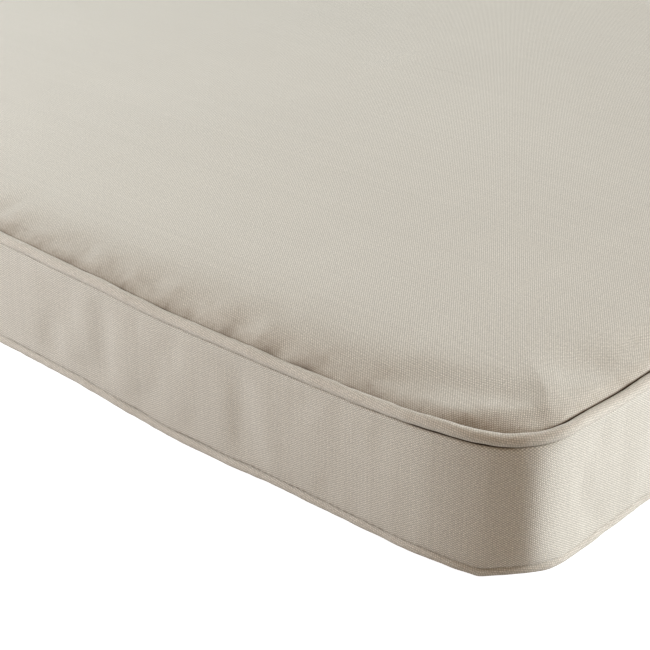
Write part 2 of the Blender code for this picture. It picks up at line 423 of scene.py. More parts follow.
def on_underside(line, inset):
    """The same underneath, where the rings close on the flat patch that the cushion rests
    on: the outline clipped to a rectangle."""
    near = line.ring + line.inward * np.minimum(inset, OFFSET_ZONE)[..., None]
    patch = drawn_in(np.clip(line.full, -REST_PATCH / 2, REST_PATCH / 2))
    share = np.clip((inset - OFFSET_ZONE) / (REST_INSET - OFFSET_ZONE), 0, 1)[..., None]
    share_in = np.clip((inset - REST_INSET) / (WIDTH / 2 - REST_INSET), 0, 1)[..., None]
    spine_y = np.clip(patch[:, 1], -SPINE_HALF, SPINE_HALF)
    spine = np.stack([np.zeros_like(spine_y), spine_y], -1)
    curved = near + (patch - near) * share
    return curved + (spine - patch) * share_in


def wave(inset, height, facts):
    """The seams' waves carried into the band in proportion to the height, and dying out
    into the panels with the square of the distance."""
    share = np.clip((height - LOWER_SEAM) / BAND_HEIGHT, 0, 1)
    above = height > BAND_MIDDLE
    reach = np.where(above, TOP_WAVE_REACH, BOTTOM_WAVE_REACH)
    fade = np.clip(1 - np.maximum(inset, 0) / reach, 0, 1) ** 2
    return fade * (facts.lower_rise + (facts.upper_rise - facts.lower_rise) * share)


middle_line = on_plan(cover_line, np.full(cover_line.count, WIDTH / 2))
print("the rings close on a line", round(float(np.ptp(middle_line[:, 1])), 3), "m long")

# %% [markdown]
# ## One skin of rings
#
# The whole cover is one closed skin: a grid whose rows are rings of the section and whose
# columns are the points of the outline. The same function makes it at any fineness, so
# that the cloth simulation can run on a coarse skin and its result be carried to the fine
# one. The last row folds shut along the spine, and the first closes on the flat patch.


# %% One skin of rings
def make_skin(line, under_steps, crease_steps, band_steps, panel_steps):
    """The grid of points, with the inset, height and kind of each row. The kinds are 0 for
    the underside, 1 for a crease below, 2 for the band, 3 for a crease above, 4 for the
    top panel."""
    facts = seam_facts(line)
    low = crease(LOWER_WELT, facts.over, BEHIND_LOWER_WELT, crease_steps)
    high = crease(UPPER_WELT, facts.under, facts.behind, crease_steps)
    parts = [
        underside(low[0][-1], low[1][-1], under_steps),
        (low[0][::-1], low[1][::-1]),
        band((low[0][0], low[1][0]), (high[0][0], high[1][0]), band_steps),
        high,
        top_panel(high[0][-1], high[1][-1], facts.sharp, panel_steps),
    ]
    inset = np.concatenate([part[0] for part in parts])
    height = np.concatenate([part[1] for part in parts])
    kind = np.concatenate([np.full(len(part[0]), k) for k, part in enumerate(parts)])
    below = (kind == 0)[:, None, None]
    plan = np.where(below, on_underside(line, inset), on_plan(line, inset))
    level = height + wave(inset, height, facts)
    points = np.concatenate([plan, level[..., None]], -1)
    return SimpleNamespace(points=points, inset=inset, height=height, kind=kind, line=line)


def skin_normals(points):
    """Unit normals of a grid: the cross product of its differences along and across."""
    along = np.roll(points, -1, 1) - np.roll(points, 1, 1)
    across = np.gradient(points, axis=0)
    normal = np.cross(along, across)
    size = np.linalg.norm(normal, axis=-1, keepdims=True)
    return normal / np.maximum(size, 1e-12)


skin = make_skin(cover_line, under_steps=14, crease_steps=9, band_steps=22, panel_steps=30)
print("cover grid", skin.height.shape, "rings and points")


# %% Close the skin
def ring_quads(rows, count):
    """The corners of every quad between neighbouring rings, as indices into the grid."""
    row, here = np.meshgrid(np.arange(rows - 1) * count, np.arange(count), indexing="ij")
    after = (here + 1) % count
    quads = np.stack([row + here, row + after, row + count + after, row + count + here], -1)
    return quads.reshape(-1, 4)


def closed_faces(skin):
    """The quads between neighbouring rings, with the points that share a place named by
    one index: the corners of the flat patch, and both sides of the fold on the spine.
    Gives the corners of the faces, and which of each quad's corners are kept."""
    rows, count = skin.height.shape
    column = np.arange(count)
    names = np.arange(rows * count).reshape(rows, count)
    patch = np.clip(skin.line.full, -REST_PATCH / 2, REST_PATCH / 2)
    _, first, same = np.unique(patch, axis=0, return_index=True, return_inverse=True)
    names[: FLAT_STEPS + 1] = names[: FLAT_STEPS + 1, first[same.ravel()]]
    tip = np.where(column < count // 2, count // 4, count * 3 // 4)
    for row, plan in ((0, drawn_in(patch)), (-1, skin.line.ring)):
        beyond = np.abs(plan[:, 1]) > SPINE_HALF - OFFSET_ZONE
        fold = np.minimum(column, (count // 2 - column) % count)
        names[row] = names[row, np.where(beyond, tip, fold)]
    faces = names.ravel()[ring_quads(rows, count)]
    keep = faces != np.roll(faces, -1, 1)
    keep[keep.sum(1) < 3] = False
    return faces, keep


faces, keep = closed_faces(skin)
print("faces with three corners:", int((keep.sum(1) == 3).sum()))


# %% Put a mesh into the scene
def add_mesh(name, points, corners, counts):
    """A smooth-shaded mesh object from points, a list of face corners and the number of
    corners of each face. Points that no face uses are left out."""
    used, corners = np.unique(corners, return_inverse=True)
    mesh = bpy.data.meshes.new(name)
    mesh.vertices.add(len(used))
    mesh.vertices.foreach_set("co", points.reshape(-1, 3)[used].ravel())
    mesh.loops.add(len(corners))
    mesh.loops.foreach_set("vertex_index", corners.ravel())
    mesh.polygons.add(len(counts))
    mesh.polygons.foreach_set("loop_start", np.cumsum(counts) - counts)
    mesh.polygons.foreach_set("use_smooth", np.ones(len(counts), bool))
    mesh.update(calc_edges=True)
    piece = bpy.data.objects.new(name, mesh)
    bpy.context.scene.collection.objects.link(piece)
    return piece, used


# %% [markdown]
# ## Let the cover puff out
#
# A cushion looks soft because its cover is pushed out from inside and held at the seams.
# That is what the cloth simulation does here: both creases and the underside are pinned,
# the cloth is cut a little large, and pressure fills it. It runs on a coarse skin, and
# each point may move only a little, because real foam holds its shape. The movement is
# then carried over to the fine skin, ring by ring and point by point.

# %% Let the cover puff out
PRESSURE = 4.0
EXTRA_CLOTH = 0.012
BENDING = 0.5
LAST_FRAME = 20
PANEL_LIMIT = 2.5 * MM
BAND_LIMIT = 0.8 * MM
SEAM_GRIP = 7 * MM


def puffed(skin):
    """How far each point of a coarse skin moves when Blender's cloth is blown up a little.
    Rows of the underside and of the creases are pinned. The cloth itself isn't kept."""
    faces, keep = closed_faces(skin)
    counts = keep.sum(1)
    cloth, used = add_mesh("puff", skin.points, faces[keep], counts[counts > 0])
    free = np.repeat(np.isin(skin.kind, (2, 4)), skin.line.count)[used]
    pins = cloth.vertex_groups.new(name="pins")
    pins.add(np.flatnonzero(~free).tolist(), 1.0, "REPLACE")
    solver = cloth.modifiers.new("Cloth", "CLOTH")
    solver.settings.vertex_group_mass = "pins"
    solver.settings.use_pressure = True
    solver.settings.uniform_pressure_force = PRESSURE
    solver.settings.shrink_min = -EXTRA_CLOTH
    solver.settings.bending_stiffness = BENDING
    solver.settings.effector_weights.gravity = 0
    solver.point_cache.frame_end = LAST_FRAME
    scene = bpy.context.scene
    for step in range(1, LAST_FRAME + 1):
        scene.frame_set(step)
    blown = cloth.evaluated_get(bpy.context.evaluated_depsgraph_get()).data
    place = np.empty(len(used) * 3, np.float32)
    blown.vertices.foreach_get("co", place)
    moved = np.zeros(skin.points.shape)
    moved.reshape(-1, 3)[used] = place.reshape(-1, 3) - skin.points.reshape(-1, 3)[used]
    scene.frame_set(1)
    mesh = cloth.data
    bpy.data.objects.remove(cloth)
    bpy.data.meshes.remove(mesh)
    return moved


print("pressure", PRESSURE, "for", LAST_FRAME, "frames")


# %% Carry the movement to the fine skin
def carried(moved, coarse, fine):
    """The movement of a coarse skin at the points of a fine one. Rings are matched by
    their kind and by their share of that stretch, points by their share of the outline."""

    def row_place(skin):
        index = np.arange(len(skin.kind))
        starts = np.searchsorted(skin.kind, skin.kind)
        sizes = np.bincount(skin.kind)[skin.kind]
        return skin.kind + (index - starts + 0.5) / sizes

    known = coarse.line.along / coarse.line.around
    known = np.concatenate([known[-2:] - 1, known, known[:2] + 1])
    wanted = fine.line.along / fine.line.around
    around = np.concatenate([moved[:, -2:], moved, moved[:, :2]], 1).swapaxes(0, 1)
    around = smooth_between(wanted, known, around).swapaxes(0, 1)
    return smooth_between(row_place(fine), row_place(coarse), around)


def section_arc(skin):
    """The length of cloth from the first ring up to each ring."""
    step = np.hypot(np.diff(skin.inset, axis=0), np.diff(skin.height, axis=0))
    return np.concatenate([np.zeros((1, step.shape[1])), np.cumsum(step, 0)])


def from_seam(skin):
    """The distance along the cloth to the nearest seam, 0 in the creases."""
    arc = section_arc(skin)
    low = arc - arc[skin.kind == 1][-1]
    high = arc[skin.kind == 3][0] - arc
    band_part = np.minimum(low, high)
    top = arc - arc[skin.kind == 3][-1]
    under = arc[skin.kind == 1][0] - arc
    choices = (under, 0 * arc, band_part, 0 * arc, top)
    return np.maximum(np.choose(skin.kind[:, None], choices), 0)


def held_back(moved, skin):
    """The movement with its length capped softly, limit times length over limit plus
    length, and taken out within a few millimetres of a seam."""
    limit = np.where(skin.kind == 4, PANEL_LIMIT, BAND_LIMIT)[:, None]
    length = np.linalg.norm(moved, axis=-1)
    grip = 1 - np.exp(-((from_seam(skin) / SEAM_GRIP) ** 2))
    return moved * (grip * limit / (limit + length))[..., None]


moved = np.zeros(skin.points.shape)
coarse_line = make_line(side_steps=60, corner_steps=12, end_steps=20)
coarse = make_skin(coarse_line, under_steps=4, crease_steps=3, band_steps=9, panel_steps=15)
moved = held_back(carried(puffed(coarse), coarse, skin), skin)
print("the cloth moved by up to", round(float(np.abs(moved).max()) / MM, 2), "mm")

# %% [markdown]
# ## Folds and puckers
#
# A band that is eased round a corner and sewn to two tight cords isn't even. It has soft
# upright folds a few centimetres apart, small puckers where the needle drew it in, and
# here a flat place across the corner between two soft ridges. They are added square to
# the cloth, as sums of waves and a few bells, and none reaches into a seam.

# %% Folds and puckers
# Columns: distance from the tip, how far the band stands out, both in millimetres
BAND_RIDGES = (
    (-120, 0.0),
    (-75, -0.1),
    (-55, -0.7),
    (-44, -0.75),
    (-39, -0.75),
    (-34, -1.10),
    (-29, -1.05),
    (-24, -0.40),
    (-20, 0.42),
    (-16, 1.20),
    (-13, 1.44),
    (-9, 1.38),
    (0, 0.95),
    (10, 0.35),
    (22, 0.35),
    (34, 0.0),
    (47, 0.15),
    (64, 0.0),
    (88, 0.20),
    (108, 0.0),
    (131, 0.17),
    (160, 0.0),
)
# How high each kind of fold of the band is, and how far from the lips it starts
WIDE_FOLD = 0.13 * MM
FINE_FOLD = 0.06 * MM
NEEDLE_FOLD, NEEDLE_REACH = 0.13 * MM, 4 * MM
FOLD_START = 3 * MM
# The lower edge of the band hangs over the cord a little: how far, where and how widely
OVERHANG, OVERHANG_AT, OVERHANG_SPREAD = 0.25 * MM, 4 * MM, 2.5 * MM
# How high each kind of pucker of the top panel is, where it starts and how far it reaches
PUCKER, PUCKER_START, PUCKER_REACH = 0.4 * MM, 2.5 * MM, 13 * MM
TIGHT_PUCKER, TIGHT_START, TIGHT_REACH = 0.22 * MM, 2 * MM, 5 * MM
BROAD_SWELL, SWELL_START = 0.22 * MM, 45 * MM
# How much of the puckers the corners take away, and how far from their tips
CALM_SHARE, CALM_REACH = 0.85, 40 * MM


def band_folds(skin, edge):
    """How far the band stands out: wide and fine folds that differ at its two edges and
    blend in between, needle puckers, an exponential of the distance from an edge, the
    overhang, a bell over the height, and the ridges of the table."""
    line = skin.line
    up = np.clip((skin.height - LOWER_SEAM) / BAND_HEIGHT, 0, 1)
    wide = (1 - up) * drift(line, seed=21, length=0.036) + up * drift(line, seed=22, length=0.031)
    fine = (1 - up) * drift(line, seed=23, length=0.015) + up * drift(line, seed=24, length=0.013)
    low = np.exp(-up * BAND_HEIGHT / NEEDLE_REACH) * drift(line, seed=25, length=0.0085)
    high = np.exp(-(1 - up) * BAND_HEIGHT / NEEDLE_REACH) * drift(line, seed=26, length=0.0085)
    overhang = np.exp(-(((up * BAND_HEIGHT - OVERHANG_AT) / OVERHANG_SPREAD) ** 2))
    waves = WIDE_FOLD * wide + FINE_FOLD * fine + NEEDLE_FOLD * (low + high)
    place, tall = np.array(BAND_RIDGES).T * MM
    inside = (line.away > place[0]) & (line.away < place[-1])
    ridges = smooth_between(line.away, place, tall) * inside * WAVE_SHARES[line.corner]
    rounded = 1 - np.exp(-edge / FOLD_START)
    return rounded * (waves + OVERHANG * overhang + ridges)


def panel_puckers(skin, edge):
    """How far the top panel stands out: two sizes of pucker, each a drift along the seam
    times an exponential of the distance from it, calm at the corners, and a broad swell,
    the sum of two sine waves over the plan."""
    line = skin.line
    beside = (1 - np.exp(-edge / PUCKER_START)) * np.exp(-edge / PUCKER_REACH)
    tight = (1 - np.exp(-edge / TIGHT_START)) * np.exp(-edge / TIGHT_REACH)
    puckers = PUCKER * beside * drift(line, seed=31, length=0.034)
    puckers += TIGHT_PUCKER * tight * drift(line, seed=32, length=0.012)
    puckers *= 1 - CALM_SHARE * np.exp(-((line.away / CALM_REACH) ** 2))
    x, y = skin.points[..., 0], skin.points[..., 1]
    broad = np.sin(x * 31 + 1.3 * np.sin(y * 9)) + np.sin(y * 23 + x * 12 + 0.7)
    broad *= 1 - np.exp(-((edge / SWELL_START) ** 2))
    return puckers + BROAD_SWELL * broad


def folds(skin):
    """How far the cloth stands out from its plain section, in metres."""
    edge, kind = from_seam(skin), skin.kind[:, None]
    on_band = np.where(kind == 2, band_folds(skin, edge), 0)
    return on_band + np.where(kind == 4, panel_puckers(skin, edge), 0)


stand_out = folds(skin)
cloth_points = skin.points + moved + skin_normals(skin.points) * stand_out[..., None]
print("folds from", np.round(stand_out.min() / MM, 2), "to", np.round(stand_out.max() / MM, 2))

# %% [markdown]
# ## The cover
#
# The three panels become one closed mesh, as they are sewn, but each has its own stretch
# of the UV map, in metres of cloth, so that the weave lies as the panel was cut. Top and
# bottom are mapped from above, pushed outward by the cloth that the roll takes up. The
# band is mapped along and up, and its length is a whole number of yarns.

# %% The maps of the cover
YARN_PITCH = (0.713 * MM, 0.533 * MM)
BAND_PITCH = (0.722 * MM, 0.500 * MM)
# The row of a crease at which one panel's map ends and the next one's starts
SPLIT_ROW = 4


def cover_maps(skin):
    """Three places on the cloth for every grid point: in the bottom and the top panel, and
    in the band. All have one more column, where the ends of the band's strip meet."""
    line, arc = skin.line, section_arc(skin)
    out = -line.inward[None] * ((arc[-1] - arc) - (WIDTH / 2 - skin.inset))[..., None]
    plan = skin.points[..., :2]
    yarns = 2 * np.round(line.around / BAND_PITCH[0] / 2)
    along = np.append(line.along, line.around) / line.around * yarns * YARN_PITCH[0]
    wander = skin.points[..., 2] - skin.height
    up = (arc - arc[skin.kind == 1][0] + wander) * YARN_PITCH[1] / BAND_PITCH[1]
    up = np.concatenate([up, up[:, :1]], 1)
    strip = np.stack(np.broadcast_arrays(along[None], up), -1)
    panels = [np.concatenate([place, place[:, :1]], 1) for place in (plan, plan + out)]
    return panels, strip


def corner_maps(skin):
    """The map's value at the four corners of each quad, by the panel that it lies in. A
    panel ends in the depth of its seam."""
    (bottom, top), strip = cover_maps(skin)
    rows = len(skin.kind) - 1
    low_split, high_split = (np.flatnonzero(skin.kind == k)[SPLIT_ROW] for k in (1, 3))
    panel = np.digitize(np.arange(rows), (low_split, high_split))
    value = np.stack([bottom, strip, top])
    row = np.arange(rows)[:, None]
    here = np.arange(skin.line.count)[None]
    picks = ((row, here), (row, here + 1), (row + 1, here + 1), (row + 1, here))
    corners = [value[panel[:, None], r, c] for r, c in picks]
    return np.stack(corners, 2).reshape(-1, 4, 2)


cloth_map = corner_maps(skin)
print("the band is", round(cover_line.around / BAND_PITCH[0]), "yarns long")

# %% Dust and painted shade by the seams
# How far the painted shade reaches from a seam, how far dust and painted shade reach on the top
# panel, how deep in a crease the painted shade is full, and the gap at which a seam counts as
# open
NEAR_SHADE_REACH = 0.3 * MM
WIDE_DUST_AND_SHADE = 5.5 * MM
CREASE_DEPTH = 0.6 * MM
OPEN_GAP = 0.4 * MM
# How far the painted shadow line reaches from the band's lower and upper edge
LOWER_SHADOW_LINE = 1.3 * MM
UPPER_SHADOW_LINE = 0.5 * MM


def seam_dust_and_shade(skin, facts):
    """How much dust and painted shade the cloth has by a seam, from 0 to 1. It is an exponential
    of the distance: painted shade very near the seam, and on the top panel also a wide reach of
    dust and painted shade. On the band only an open seam has painted shade at the lip, and in a
    crease the painted shade grows with the depth."""
    edge, arc = from_seam(skin), section_arc(skin)
    kind = skin.kind[:, None]
    inward = np.where(kind == 1, arc[skin.kind == 1][-1] - arc, arc - arc[skin.kind == 3][0])
    low = skin.height < BAND_MIDDLE
    open_share = np.where(low, facts.lower_edge_shadow, np.clip(facts.under / OPEN_GAP, 0, 1))
    # Painted shade in the crease, growing with the depth, and at the band's lip where a seam is
    # open
    in_crease = np.maximum(open_share, 1 - np.exp(-np.maximum(inward, 0) / CREASE_DEPTH))
    beside = open_share * np.exp(-edge / NEAR_SHADE_REACH)
    # Painted shade right at the seam on the top panel, and wider dust and painted shade beside it
    on_top = np.maximum(np.exp(-edge / NEAR_SHADE_REACH), np.exp(-edge / WIDE_DUST_AND_SHADE) * facts.dust_and_shade)
    choices = (0 * edge, in_crease, beside, in_crease, on_top)
    return np.clip(np.choose(kind, choices), 0, 1)


def painted_seam_shadow(skin, facts):
    """Painted shadow along the band's edges, where the gaps by the welts fall dark, from 0 to 1.
    Below, the mark is over 1 plus the sixth power of the distance from the lip. Above, it is an
    exponential of that distance, and only as strong as the seam is open."""
    edge = from_seam(skin)
    low = skin.height < BAND_MIDDLE
    below = facts.lower_edge_shadow / (1 + (edge / LOWER_SHADOW_LINE) ** 6)
    above = np.clip(facts.under / OPEN_GAP, 0, 1) * np.exp(-edge / UPPER_SHADOW_LINE)
    return np.isin(skin.kind, (1, 2, 3))[:, None] * np.where(low, below, above)


# Masks of dust and painted shade by the seams, and of the painted shadow line along the band's
# edges
dust_and_shade_mask = seam_dust_and_shade(skin, facts)
shadow_line_mask = painted_seam_shadow(skin, facts)
print("dust is", round(float(dust_and_shade_mask.mean()), 3), "on average")


# %% The cover
def add_point_value(piece, name, values):
    """Stores one number for each vertex of a piece."""
    attribute = piece.data.attributes.new(name, "FLOAT", "POINT")
    attribute.data.foreach_set("value", np.ascontiguousarray(values, np.float32))


def add_map(piece, values):
    """Stores the place on the cloth of every face corner of a piece."""
    layer = piece.data.uv_layers.new(name="cloth")
    layer.data.foreach_set("uv", np.ascontiguousarray(values, np.float32).ravel())


counts = keep.sum(1)
cover, used = add_mesh("cushion_cover", cloth_points, faces[keep], counts[counts > 0])
add_map(cover, cloth_map[keep])
# The cover's masks of dust and painted shade, and of the painted shadow line along the band's
# edges
add_point_value(cover, "seam_dust_and_shade", dust_and_shade_mask.ravel()[used])
add_point_value(cover, "painted_seam_shadow", shadow_line_mask.ravel()[used])
print("cover", len(cover.data.vertices), "points,", len(cover.data.polygons), "faces")

# %% [markdown]
# ## The two welts
#
# Each welt is a cord in a bias strip, a tube swept along the outline. Its middle follows
# the seam's waves. The cloth is drawn round the cord by hand, so the radius varies a
# little and the tube isn't quite straight. The map runs along and around, at 45 degrees
# to the yarns, because a bias strip bends round a corner without creasing.

# %% The two welts
WELT_SIDES = 20
# How thick the covered cord is as a share, by how much that varies, the most that it may,
# and how far the cord wanders sideways
CORD_SHARE = 0.985
CORD_UNEVEN = 0.02
MOST_UNEVEN = 0.035
CORD_WANDER = 0.10 * MM
welt_line = make_line(side_steps=330, corner_steps=60, end_steps=110)
welt_facts = seam_facts(welt_line)


def welt_middle(line, welt, facts):
    """The middle of a cord along a line: on the outline at the welt's inset, at its
    height and carried by its seam's wave."""
    plan = line.ring + line.inward * welt.inset
    rise = facts.upper_rise if welt.upward > 0 else facts.lower_rise
    fade = np.clip(1 - welt.inset / TOP_WAVE_REACH, 0, 1) ** 2
    return np.column_stack([plan, welt.height + rise * fade])


def tube_quads(sides, count):
    """The corners of the quads of a closed tube, and its row and column numbers."""
    row, here = np.meshgrid(np.arange(sides), np.arange(count), indexing="ij")
    up, after = (row + 1) % sides, (here + 1) % count
    quads = ((row, here), (row, after), (up, after), (up, here))
    return np.stack([r * count + c for r, c in quads], -1).reshape(-1, 4), row, here


def make_welt(name, welt, seed):
    """A tube about the cord's middle. Its radius is just under the cord's, varied by 2 %
    over 12 mm and by 2 % over 40 mm, and never larger than the crease leaves room for."""
    line = welt_line
    turn = np.arange(WELT_SIDES + 1) / WELT_SIDES * 2 * np.pi
    uneven = drift(line, seed, length=0.012) + drift(line, seed + 1, length=0.04)
    radius = WELT_RADIUS * (CORD_SHARE + np.minimum(CORD_UNEVEN * uneven, MOST_UNEVEN))
    sideways = CORD_WANDER * drift(line, seed + 2, length=0.03)
    inward = np.column_stack([line.inward, np.zeros(line.count)])
    out = (np.cos(turn)[:, None] * radius - sideways)[..., None] * inward
    points = welt_middle(line, welt, welt_facts) - out
    points[..., 2] += np.sin(turn)[:, None] * radius
    quads, row, here = tube_quads(WELT_SIDES, line.count)
    tube, _ = add_mesh(name, points[:-1], quads, np.full(len(quads), 4))
    along, girth = np.append(line.along, line.around), turn * WELT_RADIUS
    picks = ((here, row), (here + 1, row), (here + 1, row + 1), (here, row + 1))
    add_map(tube, np.stack([np.stack([along[a], girth[b]], -1) for a, b in picks], 2))
    return tube


upper_welt = make_welt("upper_welt", UPPER_WELT, seed=41)
lower_welt = make_welt("lower_welt", LOWER_WELT, seed=51)
print("each welt", len(upper_welt.data.polygons), "faces")

# %% [markdown]
# ## The stitches
#
# Both seams are closed by a lockstitch about 3.6 mm long, just inside the mouth of the crease
# between the band and the cord. Little of the thread shows. Each stitch is a short capsule that
# dips into the cloth at both ends, and the cloth's colour, further down, paints dark dashes of
# shadow along the band's edge in time with the stitches.

# %% The shape of a stitch
STITCH_PITCH = 3.6 * MM
STITCH_LENGTH = 2.7 * MM
STITCH_DIP = 0.25 * MM
THREAD_RADIUS = 0.17 * MM
THREAD_SIDES = 8
# How far a stitch may be from its even place, as a share of the pitch
STITCH_JITTER = 0.06
# Places along half a stitch, and how thick the thread is there, both as shares
STITCH_RINGS = (
    (-1.0, 0.05),
    (-0.9, 0.62),
    (-0.55, 0.95),
    (0.0, 1.0),
    (0.55, 0.95),
    (0.9, 0.62),
    (1.0, 0.05),
)


def stitch_points(middle, tangent, away):
    """Rings of points about each stitch. The axis runs along the tangent and bends into the
    cloth as the square of the place along it. The cross-section is an octagon."""
    share, thick = np.array(STITCH_RINGS).T
    angle = np.arange(THREAD_SIDES) / THREAD_SIDES * 2 * np.pi
    round_one = THREAD_RADIUS * thick[:, None] * np.cos(angle)
    round_two = THREAD_RADIUS * thick[:, None] * np.sin(angle)
    steps = (
        (tangent, (share * STITCH_LENGTH / 2)[:, None] + 0 * angle),
        (away, STITCH_DIP * share[:, None] ** 2 + round_one),
        (np.cross(tangent, away), round_two),
    )
    ring = sum(way[:, None, None] * size[..., None] for way, size in steps)
    return middle[:, None, None] + ring


def stitch_faces(number):
    """The corners of every face, and the number of corners of each: quads round every
    stitch first, then an octagon at both of its ends."""
    rings, sides = len(STITCH_RINGS), THREAD_SIDES
    row, side = np.meshgrid(np.arange(rings - 1), np.arange(sides), indexing="ij")
    here, after = row * sides + side, row * sides + (side + 1) % sides
    quads = np.stack([here + sides, after + sides, after, here], -1).reshape(-1, 4)
    caps = np.array([np.arange(sides), rings * sides - 1 - np.arange(sides)])
    first = np.arange(number)[:, None, None] * rings * sides
    corners = np.concatenate([(first + quads).ravel(), (first + caps).ravel()])
    return corners, np.concatenate([np.full(number * len(quads), 4), np.full(number * 2, sides)])


print("a stitch has", len(stitch_faces(1)[1]), "faces")


# %% Sew both seams
def make_stitches(name, welt, turn, seat, seed):
    """Capsules of thread along a seam, at a turn round the cord, and at a share of the gap
    from the cord to the lip. Each sits at its pitch with a little seeded jitter."""
    line, facts = welt_line, welt_facts
    number = int(line.around / STITCH_PITCH)
    jitter = np.random.default_rng(seed).uniform(-STITCH_JITTER, STITCH_JITTER, number)
    place = (np.arange(number) + jitter) * line.around / number
    closed = np.append(line.along, line.around)

    def at(values):
        values = np.concatenate([values, values[:1]])
        if values.ndim == 1:
            return np.interp(place, closed, values)
        return np.column_stack([np.interp(place, closed, column) for column in values.T])

    gap = facts.under if welt.upward > 0 else facts.over
    radius = WELT_RADIUS + SEAT + THREAD_RADIUS + seat * (at(gap) - 2 * THREAD_RADIUS)
    inward = np.column_stack([at(line.inward), np.zeros(number)])
    tangent = np.column_stack([at(line.tangent), np.zeros(number)])
    away = np.array([0, 0, -welt.upward * np.cos(turn)]) + inward * np.sin(turn)
    middle = at(welt_middle(line, welt, facts)) + away * radius[:, None]
    stitches, _ = add_mesh(name, stitch_points(middle, tangent, away), *stitch_faces(number))
    print(name, number)
    return stitches


upper_stitches = make_stitches("upper_stitches", UPPER_WELT, np.radians(8), seat=1.0, seed=61)
lower_stitches = make_stitches("lower_stitches", LOWER_WELT, np.radians(-18), seat=0.0, seed=62)

# %% [markdown]
# ## The weave
#
# Plain weave: every yarn passes over one and under the next. Two node groups draw it on the
# cloth's own map, so it turns with the panels. The first gives the height of the cloth, a mask of
# the yarns that are on top, and a number for each yarn. The second turns them into colour: yarns
# differ a little, the troughs are darker with painted shade, and dust and painted shade lie by
# the seams.


# %% Tools for node trees
def plug(tree, socket, value):
    """Links a socket to another, or sets its value."""
    if isinstance(value, bpy.types.NodeSocket):
        tree.links.new(value, socket)
    else:
        socket.default_value = value


def add_node(tree, kind, inputs=(), **settings):
    """Adds a node with its settings and with its inputs, given by name or number."""
    node = tree.nodes.new("ShaderNode" + kind)
    for name, value in settings.items():
        setattr(node, name, value)
    for name, value in dict(inputs).items():
        plug(tree, node.inputs[name], value)
    return node


def calc(tree, operation, *values):
    """A Math node: gives its result."""
    node = add_node(tree, "Math", enumerate(values), operation=operation)
    return node.outputs[0]


def blend(tree, share, first, second, mode="MIX"):
    """Mixes two colours by a share: gives the result."""
    node = add_node(tree, "Mix", data_type="RGBA", blend_type=mode)
    for socket, value in ((0, share), (6, first), (7, second)):
        plug(tree, node.inputs[socket], value)
    return node.outputs[2]


def spread(tree, value, low, high, to_low=0.0, to_high=1.0, smooth=False):
    """Maps a range of a value onto another range."""
    inputs = {0: value, 1: low, 2: high, 3: to_low, 4: to_high}
    kind = "SMOOTHSTEP" if smooth else "LINEAR"
    return add_node(tree, "MapRange", inputs, interpolation_type=kind).outputs[0]


def noise_at(tree, place, scale, detail):
    """A noise texture at a place on the cloth: gives its value."""
    inputs = {"Vector": place, "Scale": scale, "Detail": detail}
    return add_node(tree, "TexNoise", inputs).outputs[0]


def new_group(name, takes, gives):
    """An empty node group with named inputs and outputs: gives the tree, its inputs as a
    dict and the node that its outputs go to."""
    tree = bpy.data.node_groups.new(name, "ShaderNodeTree")
    for title, kind in takes:
        tree.interface.new_socket(title, in_out="INPUT", socket_type="NodeSocket" + kind)
    for title, kind in gives:
        tree.interface.new_socket(title, in_out="OUTPUT", socket_type="NodeSocket" + kind)
    source = tree.nodes.new("NodeGroupInput").outputs
    return tree, {title: source[title] for title, _ in takes}, tree.nodes.new("NodeGroupOutput")


# %% The plain weave
# How soft the change is from one yarn to the other, and how deep a yarn dips under
YARN_EDGE = 0.35
CRIMP = 0.45
weave, given, out = new_group(
    "Plain weave",
    (("Place", "Vector"), ("Lengthwise pitch", "Float"), ("Crosswise pitch", "Float")),
    (("Height", "Float"), ("On top", "Float"), ("Yarn", "Float")),
)
split = add_node(weave, "SeparateXYZ", {0: given["Place"]})
waves, numbers = [], []
for axis, pitch in ((0, "Lengthwise pitch"), (1, "Crosswise pitch")):
    turns = calc(weave, "DIVIDE", split.outputs[axis], given[pitch])
    waves.append(calc(weave, "SINE", calc(weave, "MULTIPLY", turns, np.pi)))
    number = {"W": calc(weave, "FLOOR", turns)}
    yarn = add_node(weave, "TexWhiteNoise", number, noise_dimensions="1D")
    numbers.append(yarn.outputs["Value"])
product = calc(weave, "MULTIPLY", *waves)
on_top = spread(weave, product, -YARN_EDGE, YARN_EDGE, smooth=True)
sizes = [calc(weave, "ABSOLUTE", wave_value) for wave_value in waves]
rounds = [calc(weave, "SQRT", size) for size in sizes]
lengths = [calc(weave, "MULTIPLY_ADD", size, CRIMP, 1 - CRIMP) for size in sizes]
lengthwise = calc(weave, "MULTIPLY", rounds[0], lengths[1])
crosswise = calc(weave, "MULTIPLY", rounds[1], lengths[0])
under_share = calc(weave, "SUBTRACT", 1.0, on_top)
high = calc(weave, "MULTIPLY", lengthwise, on_top)
plug(weave, out.inputs["Height"], calc(weave, "MULTIPLY_ADD", crosswise, under_share, high))
plug(weave, out.inputs["On top"], on_top)
first = calc(weave, "MULTIPLY", numbers[0], on_top)
plug(weave, out.inputs["Yarn"], calc(weave, "MULTIPLY_ADD", numbers[1], under_share, first))
print("node group", weave.name)

# %% [markdown]
# ## The tone of the cloth
#
# The yarns that run one way are paler than those that run the other. Light is then taken from or
# added to the colour in steps: yarn by yarn, in the troughs between yarns, where the darkening is
# painted shade, in wide patches, in streaks along the yarns and in fine specks. Last come dust
# and painted shade by the seams: a brown that is partly dust and partly painted shade beside the
# seams, and dark painted shade deep in the creases, at the lip of an open seam and in dashes of
# painted shadow along the band's edge, in time with the stitches.

# %% The tone of the cloth
# Where the values of a noise texture mostly lie
NOISE_LOW, NOISE_HIGH = 0.3, 0.7
# How fine each noise is, per metre of cloth
MOTTLE_SCALE, SPECK_SCALE, BLOTCH_SCALE = 9.0, 1300.0, 160.0
SLUB_SCALE = (900.0, 26.0, 1.0)
